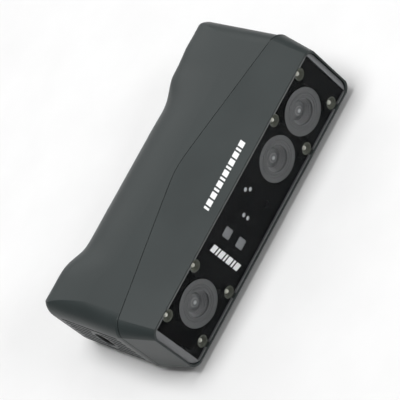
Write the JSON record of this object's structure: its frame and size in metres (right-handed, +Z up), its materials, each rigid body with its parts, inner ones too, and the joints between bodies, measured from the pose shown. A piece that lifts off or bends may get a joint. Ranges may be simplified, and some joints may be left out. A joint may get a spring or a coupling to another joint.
{
  "type": "handheld scanner",
  "caption": "Slim hand-held 3-D scanner: waisted two-shell body, long optical front window, lit keypad at the head, vents and charging recess in the foot.",
  "frame": {"origin": "centre of the resting side's bounding box, on the surface it lies on", "axes": "+X towards the head (keypad end), +Y towards the back of the grip, +Z up from the side it lies on; the window faces -Y"},
  "size_m": [0.161, 0.0794, 0.0412],
  "materials": {
    "housing_plastic": "satin fine-textured dark grey-green",
    "foot_cap_plastic": "satin",
    "seam_gasket": "matte black",
    "steel_screw": "zinc",
    "bezel_plastic": "satin",
    "window_black": "gloss black print",
    "clear_glass": "clear cover glass",
    "camera_face": "satin grey baffle",
    "camera_black": "matte black",
    "lens_glass": "coated lens",
    "circuit_board": "green solder mask",
    "led_cup": "olive reflector",
    "led_lens": "clear epoxy dome",
    "laser_lens": "coated collimator",
    "projector_window": "frosted diffuser",
    "bench_aluminium": "machined",
    "heatsink_aluminium": "black anodised",
    "battery_wrap": "shrink wrap",
    "flex_cable": "polyimide",
    "port_black": "matte black",
    "port_metal": "nickel plated",
    "fan_plastic": "matte black",
    "keypad_plastic": "satin",
    "light_ring": "light guide",
    "indicator_black": "dark window",
    "key_plastic": "satin"
  },
  "bodies": {
    "body": {"antenna": "circuit_board", "battery_pack": "battery_wrap", "bench_screws": "steel_screw", "camera_barrel_lower": "camera_black", "camera_barrel_middle": "camera_black", "camera_barrel_upper": "camera_black", "camera_board_lower": "circuit_board", "camera_board_middle": "circuit_board", "camera_board_upper": "circuit_board", "camera_face_lower": "camera_face", "camera_face_middle": "camera_face", "camera_face_upper": "camera_face", "camera_flex_cable": "flex_cable", "camera_holder_lower": "camera_black", "camera_holder_middle": "camera_black", "camera_holder_upper": "camera_black", "camera_lens_lower": "lens_glass", "camera_lens_middle": "lens_glass", "camera_lens_upper": "lens_glass", "fan_frame": "fan_plastic", "foot_cap": "foot_cap_plastic", "foot_cap_screws": "steel_screw", "front_glass": "clear_glass", "front_shell": "housing_plastic", "heatsink": "heatsink_aluminium", "indicator_board": "circuit_board", "indicator_window": "indicator_black", "key_board": "circuit_board", "keypad_bezel": "keypad_plastic", "laser_pair_lower": "laser_lens", "laser_pair_upper": "laser_lens", "led_board_lower": "circuit_board", "led_board_upper": "circuit_board", "led_cups_lower": "led_cup", "led_cups_upper": "led_cup", "led_lenses_lower": "led_lens", "led_lenses_upper": "led_lens", "main_board": "circuit_board", "optical_bench": "bench_aluminium", "port_board": "circuit_board", "port_connector": "port_metal", "port_surround": "port_black", "port_tongue": "port_black", "projector_engine_left": "camera_black", "projector_engine_right": "camera_black", "projector_window_left": "projector_window", "projector_window_right": "projector_window", "range_sensor": "camera_black", "rear_housing": "housing_plastic", "seam_gasket": "seam_gasket", "status_light_ring": "light_ring", "window_bezel": "bezel_plastic", "window_mask": "window_black"},
    "fan_rotor": {"fan_rotor": "fan_plastic"},
    "key_minus": {"key_minus": "key_plastic"},
    "key_scan": {"key_scan": "key_plastic"},
    "key_plus": {"key_plus": "key_plastic"}
  },
  "joints": [
    {"name": "key_minus_press", "type": "slide", "parent": "body", "child": "key_minus", "axis": [0, -1, 0], "range_m": [0, 0.0005], "stiffness_N_per_m": 400},
    {"name": "key_scan_press", "type": "slide", "parent": "body", "child": "key_scan", "axis": [0, -1, 0], "range_m": [0, 0.0005], "stiffness_N_per_m": 400},
    {"name": "key_plus_press", "type": "slide", "parent": "body", "child": "key_plus", "axis": [0, -1, 0], "range_m": [0, 0.0005], "stiffness_N_per_m": 400},
    {"name": "fan_spin", "type": "hinge", "parent": "body", "child": "fan_rotor", "pos_m": [-0.0605, 0.0063, 0.0206], "axis": [1, 0, 0], "continuous": true}
  ]
}
